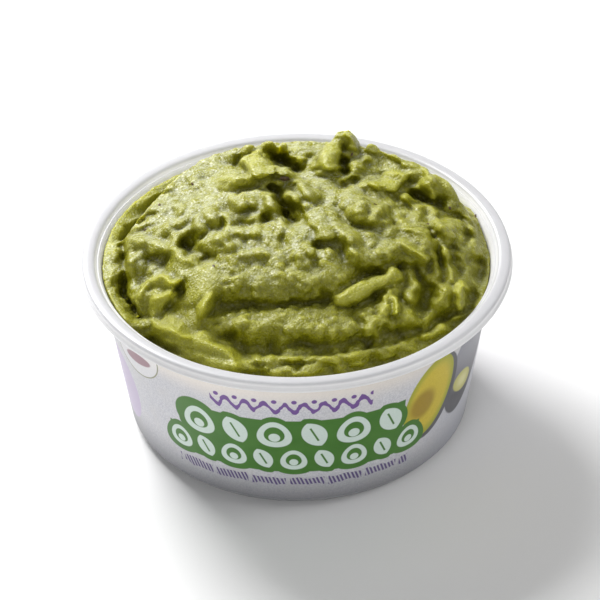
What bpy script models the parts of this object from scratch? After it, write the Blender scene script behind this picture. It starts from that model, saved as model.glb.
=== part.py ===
"""A round printed plastic tub heaped with chunky guacamole.

Three pieces: the thin-walled tub with its flanged rim, the printed wrap moulded round its tapered wall, and the
guacamole that fills it and stands in a folded heap above the rim. The origin is the centre of the foot, +Z is up,
and -Y is the front. Sizes below are millimetres.
"""

import math

import bmesh
import bpy
from mathutils import Vector

MM = 0.001

# Tub: driving dimensions
RIM_RADIUS = 50.5
TUB_HEIGHT = 44.0
OPENING_RADIUS = 47.0
FLANGE_THICKNESS = 1.1
SKIRT_DROP = 2.2
SKIRT_THICKNESS = 1.0
WALL_THICKNESS = 0.6
BODY_RADIUS_TOP = 46.35
BODY_RADIUS_FOOT = 40.35
FOOT_ROUNDING = 2.2
FLOOR_THICKNESS = 0.9
FOOT_RECESS = 0.9
FOOT_RING_WIDTH = 3.2
THROAT_DEPTH = 2.8
THROAT_STEP = 1.25
EDGE_ROUNDING = 0.35

# Printed wrap
WRAP_THICKNESS = 0.3
FIT_GAP = 0.3
WRAP_LOW = 2.6
WRAP_TOP_CLEARANCE = 0.35

# Guacamole
WALL_GAP = 0.3
WALL_LEVEL_FRONT = -1.2
WALL_LEVEL_BACK = -3.4
WALL_LEVEL_LOW_SIDE = -1.0
LOW_SIDE_DEG = 148.0
HEAP_RISE = 11.5
HEAP_CENTRE = Vector((1.0, 5.0))
HEAP_RING_COUNT = 25
HEAP_SPOKES = 76

TURNED_STEPS = 84
NECK_HEIGHT = TUB_HEIGHT - FLANGE_THICKNESS - 1.6

# The heap's folds. Swells are (x, y, half length, half width, turn in degrees, height).
SWELLS = {
    "left_peak": (-8.0, 21.0, 8.0, 4.6, 105, 6.6),
    "left_peak_foot": (-12.5, 11.0, 6.0, 4.0, 80, 2.6),
    "right_peak": (9.5, 29.0, 7.0, 4.6, 70, 9.0),
    "back_left_lump": (-13.0, 33.0, 4.5, 4.0, 0, 2.6),
    "back_lump": (19.5, 29.0, 4.5, 3.5, 120, 3.0),
    "back_right_crest": (27.0, 20.0, 8.5, 3.4, 135, 3.6),
    "right_crest": (35.0, 12.0, 6.0, 3.2, 110, 3.6),
    "right_wall_lump": (40.5, 9.0, 5.0, 3.0, 95, 2.4),
    "right_mound": (17.0, 3.0, 6.0, 5.6, 0, 2.6),
    "far_right_mound": (35.0, 0.0, 5.0, 5.0, 0, 2.2),
    "middle_pill": (6.0, -4.5, 7.0, 3.0, 115, 2.4),
    "middle_chunk": (3.0, 10.0, 5.0, 2.6, 120, 1.8),
    "left_shoulder": (-27.0, 12.0, 13.0, 11.0, 120, 2.4),
    "spoon_curl": (-31.5, -15.5, 10.5, 9.0, 105, 4.8),
    "curl_tongue": (-32.0, -13.0, 6.0, 2.4, 155, 1.8),
    "curl_wall": (-22.0, -13.0, 9.0, 3.0, 110, 2.2),
    "front_slice": (-20.0, -33.0, 8.5, 4.6, 135, 3.0),
    "front_stick": (17.0, -18.5, 8.5, 2.2, 32, 2.4),
    "front_right_lump": (20.0, -25.0, 4.0, 3.2, 60, 1.8),
    "far_front_right": (36.0, -18.0, 5.5, 3.4, 55, 2.2),
    "valley": (-2.5, 17.0, 13.0, 3.2, 102, -6.0),
    "right_peak_hollow": (9.0, 20.0, 4.6, 3.4, 60, -3.2),
    "right_crest_hollow": (28.0, 11.5, 5.4, 2.8, 150, -3.2),
    "left_hollow": (-24.5, -4.0, 6.0, 2.8, 125, -3.6),
    "small_left_hollow": (-32.5, -3.0, 4.0, 2.4, 140, -2.4),
    "curl_crevice": (-40.5, -9.0, 13.0, 2.0, 102, -3.4),
    "under_curl": (-31.0, -27.5, 6.0, 2.4, 150, -2.8),
}
# Terraces that the spoon left round the front: distance of each crest from the heap's centre, and its step.
TERRACES = ((24.5, 2.6), (34.0, 2.4), (41.5, 1.6))
TERRACE_TREAD = 6.5
TERRACE_RISER = 1.8


def smooth(low, high, value):
    """0 below low, 1 above high, and a smooth slope between them."""
    t = min(1.0, max(0.0, (value - low) / (high - low)))
    return t * t * (3 - 2 * t)


def arc(centre_r, centre_z, radius, start_deg, end_deg, steps):
    """Profile points (radius, height) along an arc."""
    points = []
    for k in range(steps + 1):
        angle = math.radians(start_deg + (end_deg - start_deg) * k / steps)
        points.append((centre_r + radius * math.cos(angle), centre_z + radius * math.sin(angle)))
    return points


def body_radius(z):
    """The outside of the printed body at a height, flush with the wrap."""
    return BODY_RADIUS_FOOT + (BODY_RADIUS_TOP - BODY_RADIUS_FOOT) * z / (NECK_HEIGHT + 1.6)


def inner_radius(z):
    """The inside of the tub's wall at a height."""
    return body_radius(z) - WRAP_THICKNESS - FIT_GAP - WALL_THICKNESS


def tub_profile():
    """The tub's section, from the rim down the outside, across the foot and back up the inside."""
    rim_edge = RIM_RADIUS - EDGE_ROUNDING
    skirt_foot = TUB_HEIGHT - SKIRT_DROP
    flange_under = TUB_HEIGHT - FLANGE_THICKNESS
    wrap_top = NECK_HEIGHT
    recess = WRAP_THICKNESS + FIT_GAP
    throat = TUB_HEIGHT - THROAT_DEPTH
    floor = FOOT_RECESS + FLOOR_THICKNESS
    ring_outer = body_radius(0) - FOOT_ROUNDING
    ring_inner = ring_outer - FOOT_RING_WIDTH
    corner_centre = inner_radius(floor + FOOT_ROUNDING) - FOOT_ROUNDING
    outside = [
        *arc(rim_edge, TUB_HEIGHT - EDGE_ROUNDING, EDGE_ROUNDING, 90, 0, 3),
        (RIM_RADIUS, skirt_foot),
        (RIM_RADIUS - SKIRT_THICKNESS, skirt_foot),
        (RIM_RADIUS - SKIRT_THICKNESS, flange_under),
        (body_radius(flange_under), flange_under),
        (body_radius(wrap_top), wrap_top),
        (body_radius(wrap_top) - recess, wrap_top),
        (body_radius(WRAP_LOW - FIT_GAP) - recess, WRAP_LOW - FIT_GAP),
        (body_radius(WRAP_LOW - FIT_GAP), WRAP_LOW - FIT_GAP),
        *arc(ring_outer, FOOT_ROUNDING, FOOT_ROUNDING, 0, -90, 4)[1:],
        (ring_inner, 0.0),
        (ring_inner - FOOT_RECESS, FOOT_RECESS),
        (0.0, FOOT_RECESS),
    ]
    inside = [
        (0.0, floor),
        *arc(corner_centre, floor + FOOT_ROUNDING, FOOT_ROUNDING, -90, 0, 3),
        (inner_radius(throat), throat),
        (OPENING_RADIUS - THROAT_STEP, flange_under),
        (OPENING_RADIUS - EDGE_ROUNDING, TUB_HEIGHT - EDGE_ROUNDING),
        (OPENING_RADIUS, TUB_HEIGHT),
    ]
    return outside + inside


def wrap_profile():
    """The printed wrap's section: a thin band that follows the body's taper."""
    low = WRAP_LOW
    high = NECK_HEIGHT - WRAP_TOP_CLEARANCE
    return [
        (body_radius(high), high),
        (body_radius(low), low),
        (body_radius(low) - WRAP_THICKNESS, low),
        (body_radius(high) - WRAP_THICKNESS, high),
    ]


def material(name, colour, roughness):
    made = bpy.data.materials.new(name)
    made.use_nodes = True
    shader = made.node_tree.nodes["Principled BSDF"]
    shader.inputs["Base Color"].default_value = (*colour, 1.0)
    shader.inputs["Roughness"].default_value = roughness
    return made


def add_object(name, bm, look):
    """A mesh object from bmesh data in millimetres, shaded smooth except at its sharp edges."""
    bmesh.ops.scale(bm, vec=(MM, MM, MM), verts=bm.verts)
    mesh = bpy.data.meshes.new(name)
    bm.to_mesh(mesh)
    bm.free()
    mesh.materials.append(look)
    mesh.shade_smooth()
    mesh.set_sharp_from_angle(angle=math.radians(35))
    made = bpy.data.objects.new(name, mesh)
    bpy.context.scene.collection.objects.link(made)
    return made


def turned(name, profile, look):
    """A solid of revolution about Z. The profile is closed by its own ends, on the axis or by a last edge."""
    bm = bmesh.new()
    corners = [bm.verts.new((r, 0.0, z)) for r, z in profile]
    edges = [bm.edges.new((a, b)) for a, b in zip(corners, corners[1:] + corners[:1]) if a.co.x + b.co.x > 0]
    bmesh.ops.spin(
        bm,
        geom=corners + edges,
        cent=(0, 0, 0),
        axis=(0, 0, 1),
        angle=2 * math.pi,
        steps=TURNED_STEPS,
        use_merge=True,
    )
    bmesh.ops.remove_doubles(bm, verts=bm.verts, dist=0.001)
    bmesh.ops.recalc_face_normals(bm, faces=bm.faces)
    return add_object(name, bm, look)


def wall_level(angle):
    """How far below the rim the guacamole meets the wall, round the tub. It is lowest at the back left."""
    toward_back = 0.5 + 0.5 * math.sin(angle)
    level = WALL_LEVEL_FRONT + (WALL_LEVEL_BACK - WALL_LEVEL_FRONT) * toward_back
    low_side = max(0.0, math.cos(angle - math.radians(LOW_SIDE_DEG)))
    return level + WALL_LEVEL_LOW_SIDE * low_side**3


def swell(x, y, feature):
    """The height that one swell or hollow adds at a point: a round-topped hill over a turned ellipse."""
    centre_x, centre_y, half_length, half_width, turn, height = feature
    angle = math.radians(turn)
    along = (x - centre_x) * math.cos(angle) + (y - centre_y) * math.sin(angle)
    across = (y - centre_y) * math.cos(angle) - (x - centre_x) * math.sin(angle)
    near = math.hypot(along / half_length, across / half_width)
    return height * (1 - smooth(0.25, 1.25, near))


def terraces(x, y):
    """The spoon's terraces round the front: each rises slowly to its crest and drops steeply outside it."""
    offset = Vector((x, y)) - HEAP_CENTRE
    distance = offset.length
    frontness = smooth(-0.15, 0.55, -offset.y / max(distance, 1.0))
    total = 0.0
    for crest, step in TERRACES:
        rise = smooth(crest - TERRACE_TREAD, crest, distance)
        fall = smooth(crest, crest + TERRACE_RISER, distance)
        total += step * (0.55 * rise - fall * 0.55 * smooth(crest + TERRACE_TREAD, crest, distance))
    return total * frontness


def heap_point(share, angle):
    """A point of the guacamole's surface, at a share of the way from the axis out to the wall."""
    level = TUB_HEIGHT + wall_level(angle)
    wall_radius = inner_radius(level) - WALL_GAP
    x = wall_radius * share * math.cos(angle)
    y = wall_radius * share * math.sin(angle)
    offset = (Vector((x, y)) - HEAP_CENTRE * (1 - share)).length / wall_radius
    rise = HEAP_RISE * max(0.0, 1 - offset**2) ** 0.8
    folds = sum(swell(x, y, feature) for feature in SWELLS.values()) + terraces(x, y)
    height = level * share + (TUB_HEIGHT + WALL_LEVEL_FRONT) * (1 - share) + rise
    return x, y, height + folds * (1 - smooth(0.86, 1.0, share))


def guacamole(look):
    """The filling: it follows the tub's inside with a small gap and is heaped above the rim."""
    bm = bmesh.new()
    angles = [2 * math.pi * k / HEAP_SPOKES for k in range(HEAP_SPOKES)]
    floor = FOOT_RECESS + FLOOR_THICKNESS + WALL_GAP
    side_levels = [floor, floor + 0.5, floor + FOOT_ROUNDING, 14.0, 26.0]
    side_insets = [FOOT_ROUNDING, FOOT_ROUNDING * 0.4, 0.0, 0.0, 0.0]
    rings = []
    for level, inset in zip(side_levels, side_insets):
        radius = inner_radius(level) - WALL_GAP - inset
        rings.append([(radius * math.cos(a), radius * math.sin(a), level) for a in angles])
    for ring in range(HEAP_RING_COUNT):
        share = (1 - ring / HEAP_RING_COUNT) ** 0.92
        rings.append([heap_point(share, a) for a in angles])
    made = [[bm.verts.new(point) for point in ring] for ring in rings]
    for lower, upper in zip(made, made[1:]):
        for k in range(HEAP_SPOKES):
            after = (k + 1) % HEAP_SPOKES
            bm.faces.new((lower[k], lower[after], upper[after], upper[k]))
    floor_middle = bm.verts.new((0.0, 0.0, floor))
    top_middle = bm.verts.new(heap_point(0.0, 0.0))
    for k in range(HEAP_SPOKES):
        after = (k + 1) % HEAP_SPOKES
        bm.faces.new((floor_middle, made[0][after], made[0][k]))
        bm.faces.new((top_middle, made[-1][k], made[-1][after]))
    return add_object("guacamole", bm, look)


def main():
    for existing in list(bpy.data.objects):
        bpy.data.objects.remove(existing)
    milky_plastic = material("milky_plastic", (0.86, 0.86, 0.87), 0.35)
    printed_film = material("printed_film", (0.70, 0.71, 0.74), 0.45)
    mashed_avocado = material("mashed_avocado", (0.42, 0.42, 0.10), 0.40)
    turned("tub", tub_profile(), milky_plastic)
    turned("wrap", wrap_profile(), printed_film)
    guacamole(mashed_avocado)


main()
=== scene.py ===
import math

import bpy
import numpy as np
from mathutils import Matrix, Vector, noise


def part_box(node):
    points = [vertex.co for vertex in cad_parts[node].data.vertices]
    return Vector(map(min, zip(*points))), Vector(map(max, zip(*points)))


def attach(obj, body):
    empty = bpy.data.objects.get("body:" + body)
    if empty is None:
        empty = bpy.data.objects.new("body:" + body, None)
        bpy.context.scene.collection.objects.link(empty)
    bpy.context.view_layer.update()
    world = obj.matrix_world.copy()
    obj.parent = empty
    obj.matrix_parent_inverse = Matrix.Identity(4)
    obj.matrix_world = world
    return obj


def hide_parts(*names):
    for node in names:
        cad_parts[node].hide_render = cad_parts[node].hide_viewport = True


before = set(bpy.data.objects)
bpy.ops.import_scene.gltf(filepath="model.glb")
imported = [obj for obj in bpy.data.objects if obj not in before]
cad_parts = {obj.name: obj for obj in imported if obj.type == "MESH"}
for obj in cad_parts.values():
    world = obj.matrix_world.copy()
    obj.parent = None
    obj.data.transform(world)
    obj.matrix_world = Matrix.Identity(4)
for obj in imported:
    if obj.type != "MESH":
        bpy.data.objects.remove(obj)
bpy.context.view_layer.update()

mm = 0.001


def only(piece):
    # make one object the only selected and active one
    if bpy.context.object and bpy.context.object.mode != "OBJECT":
        bpy.ops.object.mode_set(mode="OBJECT")
    bpy.ops.object.select_all(action="DESELECT")
    piece.select_set(True)
    bpy.context.view_layer.objects.active = piece


def added(name):
    # name the object that an operator has just added
    piece = bpy.context.object
    piece.name = name
    piece.data.name = name
    return piece


def applyAll(piece):
    only(piece)
    bpy.ops.object.transform_apply(location=True, rotation=True, scale=True)


def drawOut(up, share):
    # extrude what is selected, straight up or down and in or out about the middle
    bpy.ops.mesh.extrude_region_move(TRANSFORM_OT_translate={"value": (0, 0, up)})
    bpy.ops.transform.resize(value=(share, share, 1), center_override=(0, 0, 0))


def finishModifiers(piece):
    only(piece)
    for modifier in list(piece.modifiers):
        bpy.ops.object.modifier_apply(modifier=modifier.name)


def smoothShade(piece, degrees):
    only(piece)
    bpy.ops.object.shade_smooth_by_angle(angle=math.radians(degrees))


def pointsOf(piece):
    # vertex places in millimetres, one row each
    flat = np.empty(len(piece.data.vertices) * 3)
    piece.data.vertices.foreach_get("co", flat)
    return flat.reshape(-1, 3) / mm


def movePoints(piece, places):
    piece.data.vertices.foreach_set("co", (places * mm).ravel())
    piece.data.update()


def smoothStep(low, high, value):
    t = np.clip((value - low) / (high - low), 0.0, 1.0)
    return t * t * (3 - 2 * t)


def paint(red, green, blue):
    # a screen colour, 0 to 255, as the linear colour a shader wants
    def linear(level):
        level = level / 255
        return level / 12.92 if level <= 0.04045 else ((level + 0.055) / 1.055) ** 2.4
    return (linear(red), linear(green), linear(blue), 1.0)


class Wire:
    # one socket; sums with it add Math nodes
    def __init__(self, tree, socket):
        self.tree = tree
        self.socket = socket

    def plug(self, slot, value):
        if isinstance(value, Wire):
            self.tree.links.new(value.socket, slot)
        else:
            slot.default_value = value

    def maths(self, operation, *values):
        made = self.tree.nodes.new("ShaderNodeMath")
        made.operation = operation
        for slot, value in zip(made.inputs, values):
            self.plug(slot, value)
        return Wire(self.tree, made.outputs[0])

    def __add__(self, other):
        return self.maths("ADD", self, other)

    def __radd__(self, other):
        return self.maths("ADD", other, self)

    def __sub__(self, other):
        return self.maths("SUBTRACT", self, other)

    def __rsub__(self, other):
        return self.maths("SUBTRACT", other, self)

    def __mul__(self, other):
        return self.maths("MULTIPLY", self, other)

    def __rmul__(self, other):
        return self.maths("MULTIPLY", other, self)

    def __truediv__(self, other):
        return self.maths("DIVIDE", self, other)

    def __abs__(self):
        return self.maths("ABSOLUTE", self)

    def least(self, other):
        return self.maths("MINIMUM", self, other)

    def most(self, other):
        return self.maths("MAXIMUM", self, other)

    def sine(self):
        return self.maths("SINE", self)

    def root(self):
        return self.maths("SQRT", self)

    def over(self, low, high):
        # 0 below low, 1 above high, smooth between
        made = self.tree.nodes.new("ShaderNodeMapRange")
        made.interpolation_type = "SMOOTHSTEP"
        for slot, value in zip(made.inputs, (self, low, high, 0.0, 1.0)):
            self.plug(slot, value)
        return Wire(self.tree, made.outputs[0])

    def under(self, edge, soft):
        # 1 where the value is below the edge, 0 above, with a soft border
        return 1 - self.over(edge - soft, edge + soft)


class Finish:
    # a material round one Principled shader
    def __init__(self, name):
        self.material = bpy.data.materials.new(name)
        self.material.use_nodes = True
        self.tree = self.material.node_tree
        self.shader = self.tree.nodes["Principled BSDF"]

    def node(self, kind, settings, values, out=0):
        made = self.tree.nodes.new(kind)
        for name, value in settings.items():
            setattr(made, name, value)
        wire = Wire(self.tree, made.outputs[out])
        for name, value in values.items():
            wire.plug(made.inputs[name], value)
        return wire

    def place(self):
        # the piece's own place, in millimetres
        found = self.node("ShaderNodeTexCoord", {}, {}, 3)
        return self.node("ShaderNodeVectorMath", {"operation": "SCALE"}, {0: found, "Scale": 1000.0})

    def attribute(self, name):
        return self.node("ShaderNodeAttribute", {"attribute_name": name}, {}, 2)

    def split(self, vector):
        made = self.tree.nodes.new("ShaderNodeSeparateXYZ")
        self.tree.links.new(vector.socket, made.inputs[0])
        return [Wire(self.tree, out) for out in made.outputs]

    def grain(self, vector, size, detail, rough):
        # noise whose lumps are about size millimetres across
        values = {"Vector": vector, "Scale": 1 / size, "Detail": detail, "Roughness": rough}
        return self.node("ShaderNodeTexNoise", {}, values)

    def mix(self, factor, first, second):
        return self.node("ShaderNodeMix", {"data_type": "RGBA"}, {0: factor, 6: first, 7: second}, 2)

    def bump(self, height, distance, strength):
        values = {"Height": height, "Distance": distance * mm, "Strength": strength}
        return self.node("ShaderNodeBump", {}, values)

    def set(self, **values):
        for name, value in values.items():
            Wire(self.tree, None).plug(self.shader.inputs[name.replace("_", " ")], value)


tub = {
    "sides": 192,
    # the section from the foot, up the outside, over the rim and down the inside: radius, height
    "section": [
        (31.0, 0.9), (33.6, 0.75), (34.9, 0.2), (35.3, 0.0), (37.4, 0.0), (38.3, 0.25), (39.2, 0.75),
        (39.9, 1.5), (40.3, 2.3),
        (40.1, 2.5), (40.15, 2.9), (45.45, 40.7), (45.75, 41.1), (46.1, 41.6), (46.35, 42.9), (49.3, 42.9),
        (49.4, 42.75), (49.4, 41.95), (49.55, 41.8), (50.3, 41.8), (50.48, 41.88), (50.5, 42.0),
        (50.46, 42.12), (50.2, 42.3),
        (50.12, 42.5), (50.1, 43.3), (49.98, 43.7), (49.7, 43.92), (49.3, 44.0), (47.9, 44.0),
        (47.45, 43.9), (47.1, 43.6),
        (46.9, 43.2), (46.3, 42.75), (45.8, 42.3), (45.55, 41.6),
        (45.1, 39.4), (40.1, 4.6), (39.7, 3.3), (38.9, 2.4), (37.6, 1.9), (36.0, 1.8),
    ],
}


def turnedTub():
    # a disc for the foot, whose face is drawn out ring by ring along the section
    bpy.ops.object.select_all(action="DESELECT")
    radius, height = tub["section"][0]
    bpy.ops.mesh.primitive_circle_add(vertices=tub["sides"], radius=radius * mm, fill_type="NGON",
                                      location=(0, 0, height * mm))
    piece = added("tubShell")
    applyAll(piece)
    bpy.ops.object.mode_set(mode="EDIT")
    bpy.ops.mesh.select_mode(type="FACE")
    bpy.ops.mesh.select_all(action="SELECT")
    for nextRadius, nextHeight in tub["section"][1:]:
        drawOut((nextHeight - height) * mm, nextRadius / radius)
        radius, height = nextRadius, nextHeight
    bpy.ops.mesh.select_all(action="SELECT")
    bpy.ops.mesh.normals_make_consistent(inside=False)
    bpy.ops.mesh.select_mode(type="VERT")
    bpy.ops.object.mode_set(mode="OBJECT")
    smoothShade(piece, 40)
    return piece


def milkyPlastic():
    finish = Finish("milkyPlastic")
    place = finish.place()
    x, y, z = finish.split(place)
    cloud = finish.grain(place, 9.0, 3.0, 0.5)
    mould = finish.grain(place, 0.35, 1.0, 0.5)
    colour = finish.mix(cloud, paint(244, 244, 246), paint(250, 250, 251))
    # painted shade: the rim's top greyer than the skirt below it
    colour = finish.mix(z.over(43.1, 43.8) * 0.9, colour, paint(192, 192, 195))
    # painted shade on the skirt, which leaves the lip under it as a painted bright edge line
    colour = finish.mix(z.over(42.1, 42.3) * z.under(43.0, 0.2) * 0.5, colour, paint(222, 222, 225))
    # painted shade: the foot darker below 2.4 mm
    colour = finish.mix(z.under(2.4, 0.3), colour, paint(150, 151, 155))
    finish.set(
        Base_Color=colour,
        Roughness=cloud * 0.12 + 0.27,
        IOR=1.49,
        Subsurface_Weight=0.55,
        Subsurface_Radius=(1.0, 1.0, 1.0),
        Subsurface_Scale=0.004,
        Transmission_Weight=0.12,
        Normal=finish.bump(mould, 0.02, 0.4),
    )
    return finish.material


wrap = {
    "low": 2.6,
    "high": 40.95,
    "radiusLow": 40.72,
    "radiusHigh": 46.09,
    "thickness": 0.28,
    "sides": 192,
    "meanRadius": 43.4,
}


def printedBand():
    bpy.ops.object.select_all(action="DESELECT")
    height = wrap["high"] - wrap["low"]
    middle = (wrap["high"] + wrap["low"]) / 2
    bpy.ops.mesh.primitive_cone_add(vertices=wrap["sides"], radius1=wrap["radiusLow"] * mm,
                                    radius2=wrap["radiusHigh"] * mm, depth=height * mm,
                                    end_fill_type="NOTHING", location=(0, 0, middle * mm))
    piece = added("printedWrap")
    applyAll(piece)
    bpy.ops.object.mode_set(mode="EDIT")
    bpy.ops.mesh.select_all(action="SELECT")
    bpy.ops.mesh.normals_make_consistent(inside=False)
    bpy.ops.object.mode_set(mode="OBJECT")
    wall = piece.modifiers.new("thickness", "SOLIDIFY")
    wall.thickness = wrap["thickness"] * mm
    wall.offset = -1
    finishModifiers(piece)
    smoothShade(piece, 40)
    return piece


def printFilm():
    # a pale speckled ground, a green banner of halves and leaves in two rows, purple strokes, two avocados
    finish = Finish("printedFilm")
    place = finish.place()
    x, y, z = finish.split(place)
    turn = x.maths("ARCTAN2", x, 0 - y)
    # along the wrap from its front, to the right; the back half bears the same print
    half = wrap["meanRadius"] * math.pi / 2
    u = turn.maths("WRAP", turn * wrap["meanRadius"], half, -half)

    def blob(alongAt, upAt, wide, high, lean=0.0):
        # about the distance outside an ellipse
        du = u - alongAt
        dv = z - upAt
        turned = du * math.cos(lean) + dv * math.sin(lean)
        raised = dv * math.cos(lean) - du * math.sin(lean)
        turned = turned / wide
        raised = raised / high
        return ((turned * turned + raised * raised).root() - 1) * min(wide, high)

    speckle = finish.grain(place, 0.42, 2.0, 0.7)
    blotch = finish.grain(place, 6.0, 3.0, 0.55)
    wobble = finish.grain(place, 3.0, 2.0, 0.5) - 0.5
    ground = finish.mix(speckle.over(0.3, 0.7), paint(188, 189, 196), paint(216, 216, 220))
    ground = finish.mix(blotch.over(0.35, 0.75) * 0.5, ground, paint(205, 203, 202))
    ground = finish.mix(z.over(31.0, 38.0) * 0.8, ground, paint(238, 230, 220))
    # darker towards the foot: painted shade where the light falls off towards the floor
    ground = finish.mix(1 - z.over(-1.0, 15.0), ground, finish.mix(0.9, ground, paint(90, 91, 96)))
    # painted shade: a greyer band on the right, where the wrap turns away from the light
    ground = finish.mix((u.over(24.0, 48.0) - u.over(52.0, 66.0)) * 0.55, ground, paint(168, 170, 180))

    def row(first, last, count, upAt, high):
        # avocado halves and leaves by turns, and the outline they share
        pitch = (last - first) / count
        steps = u.maths("FLOOR", (u - first) / pitch)
        cell = steps.most(0.0).least(count - 1.0)
        local = u - first - (cell + 0.5) * pitch
        odd = u.maths("MODULO", cell, 2.0)
        dv = z - upAt
        wide = pitch * 0.43
        pear = (local / wide) * (dv / high * 0.22 + 1)
        body = ((pear * pear + (dv / high) * (dv / high)).root() - 1) * wide
        stone = (local * local + (dv + high * 0.24) * (dv + high * 0.24)).root() - wide * 0.34
        tilt = 0.42
        across = local * math.cos(tilt) + dv * math.sin(tilt)
        along = dv * math.cos(tilt) - local * math.sin(tilt)
        side = wide * 0.72
        bow = (high * high + side * side) / (2 * side)
        leaf = ((abs(across) + (bow - side)) * (abs(across) + (bow - side)) + along * along).root() - bow
        rib = abs(across).most(abs(along) - high * 0.5) - 0.24
        thick = wide * 0.2
        inked = (abs(body + thick) - thick).least(stone) * (1 - odd) + leaf.most(0 - rib) * odd
        return inked, body * (1 - odd) + leaf * odd

    inkOne, lineOne = row(-28.4, 26.0, 6, 24.2, 4.1)
    inkTwo, lineTwo = row(-33.6, 30.6, 9, 16.0, 3.2)
    barOne = (abs(u + 1.2) - 24.6).most(abs(z - 24.2) - 3.0)
    barTwo = (abs(u + 1.5) - 29.8).most(abs(z - 16.0) - 2.4)
    field = lineOne.least(lineTwo).least(barOne.least(barTwo)).least(blob(-24.4, 25.0, 4.2, 4.2))
    green = finish.mix(blotch, paint(50, 104, 20), paint(72, 124, 40))
    inField = field.under(1.6, 0.12)
    inInk = inkOne.least(inkTwo).under(0.0, 0.1)

    # hand-drawn purple wave with dots above, and short strokes below
    wave = (u * 1.45 + wobble * 3).sine() * 1.25
    upper = abs(z - 33.0 - wave - wobble * 1.2) - (wobble * 0.6 + 0.78)
    dot = u.maths("PINGPONG", u + 3.25, 2.17)
    dots = ((dot - 2.17) * (dot - 2.17) + (z - 34.9) * (z - 34.9)).root() - 0.6
    upper = upper.least(dots).most(abs(u + 1.8) - 18.2)
    dash = u.maths("PINGPONG", u + (z - 8.7) * 0.35, 0.95)
    lower = (abs(dash - 0.45) - 0.27).most(abs(z - 8.8 - wobble * 2.0) - 1.15)
    lower = lower.most(abs(u + 2.0) - 29.5)
    gaps = u.maths("PINGPONG", u + 3, 4.6)
    lower = lower.most(0.5 - gaps)

    # two cut avocados on the right, a roundel and a plain panel on the left
    skin = blob(33.6, 24.6, 7.8, 12.4, -0.24)
    flesh = blob(32.6, 25.2, 7.2, 11.8, -0.24)
    heart = blob(30.4, 24.2, 4.0, 4.8, -0.3)
    skinTwo = blob(47.6, 26.4, 8.6, 14.0, -0.30)
    fleshTwo = blob(46.2, 21.4, 4.8, 3.0, -0.45)
    roundel = blob(-53.6, 17.6, 8.0, 10.0)
    panel = blob(-42.6, 35.6, 9.0, 7.6, 0.12)
    lens = blob(-41.4, 33.2, 5.0, 1.5, 0.22)
    colour = finish.mix(roundel.under(0.0, 0.15), ground, paint(194, 182, 206))
    colour = finish.mix(panel.under(0.0, 0.1), colour, finish.mix(0.6, colour, paint(232, 231, 232)))
    colour = finish.mix((abs(panel + 0.2) - 0.16).under(0.0, 0.1), colour, paint(140, 140, 112))
    colour = finish.mix(lens.under(0.0, 0.12), colour, paint(158, 126, 134))
    dark = finish.mix(blotch, paint(60, 60, 64), paint(104, 104, 110))
    darkTwo = finish.mix(z.over(18.0, 32.0), dark, paint(138, 138, 146))
    colour = finish.mix(skinTwo.under(0.0, 0.2), colour, darkTwo)
    fleshLook = finish.mix(fleshTwo.over(-2.6, -0.2), paint(214, 210, 150), paint(190, 186, 104))
    colour = finish.mix(fleshTwo.under(0.0, 0.25), colour, fleshLook)
    colour = finish.mix(skin.under(0.0, 0.15), colour, dark)
    fleshLook = finish.mix(flesh.over(-2.4, -0.1), paint(204, 184, 52), paint(160, 164, 44))
    fleshLook = finish.mix(heart.under(-0.4, 1.2) * 0.85, fleshLook, paint(146, 116, 14))
    fleshLook = finish.mix(speckle.over(0.4, 0.7) * 0.3, fleshLook, paint(176, 150, 30))
    colour = finish.mix(flesh.under(0.0, 0.15), colour, fleshLook)
    colour = finish.mix(inField, colour, green)
    colour = finish.mix(inInk, colour, finish.mix(speckle, paint(196, 214, 204), paint(216, 228, 222)))
    colour = finish.mix(upper.under(0.0, 0.1), colour, paint(112, 78, 146))
    colour = finish.mix(lower.under(0.0, 0.12), colour, paint(84, 68, 118))
    finish.set(
        Base_Color=colour,
        Roughness=speckle * 0.12 + 0.36,
        IOR=1.5,
        Normal=finish.bump(speckle, 0.02, 0.35),
    )
    return finish.material


mash = {
    "cells": 290,
    "radius": 45.3,
    "wallLevels": {0: -3.0, 12: -2.8, 19: -0.9, 25: -1.6, 32: -4.0, 60: -4.6, 90: -5.2, 115: -3.4,
        130: -1.6, 150: -1.2,
                   170: -1.6, 190: -1.6, 210: -2.0, 218: -6.6, 226: -6.6, 232: -5.6, 270: -6.4, 300: -6.0,
                   325: -4.6, 345: -2.8},
    "shoulder": {0: 43.2, 60: 43.0, 100: 42.0, 122: 39.5, 145: 38.2, 160: 39.0, 172: 42.0, 185: 43.6,
        230: 43.8, 300: 43.8},
    "seed": 5,
    "lumpBroad": 3.6,
    "lumpClose": 1.3,
    "rise": 1.45,                  # how much the strokes stand out
    "voxel": 0.38,
    "chunkAndGlow": {"slab": 0.9, "slabTip": 0.9, "slabSlope": 0.6, "stick": 0.9, "fingerOne": 0.7,
        "fingerTwo": 0.9, "curlCup": 0.4, "curlBelly": 1.0, "curlRim": 0.7, "curlTip": 0.9,
              "peakFin": 1.0, "peakFinRight": 0.8, "prong": 0.7, "frontPeak": 0.8, "shelfHook": 0.5,
              "rightKnobSix": 0.6, "farRight": 0.5, "frontSlice": 0.6, "leftBand": 0.6, "outerBand": 0.4},
    "smooth": ("stick", "pill", "prong", "peakFin", "curlBelly", "fingerTwo", "frontSlice", "leftBand",
        "farRight"),
    "depthCell": 0.5,
    "depthReach": 2.6,
    "bottom": 34.0,
    "foot": ((35.5, 44.7), (20.0, 42.6), (5.0, 40.55), (2.6, 39.6), (2.1, 37.5)),
    "top": 56.6,
    "toward": (0.80, 0.60),
               # folds stand out forwards and up, as a spoon drawn to the front leaves them
    "frontDrop": -2.2,
    "gutterDepth": 4.2,
    "gutterRadius": 41.4,
}

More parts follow.
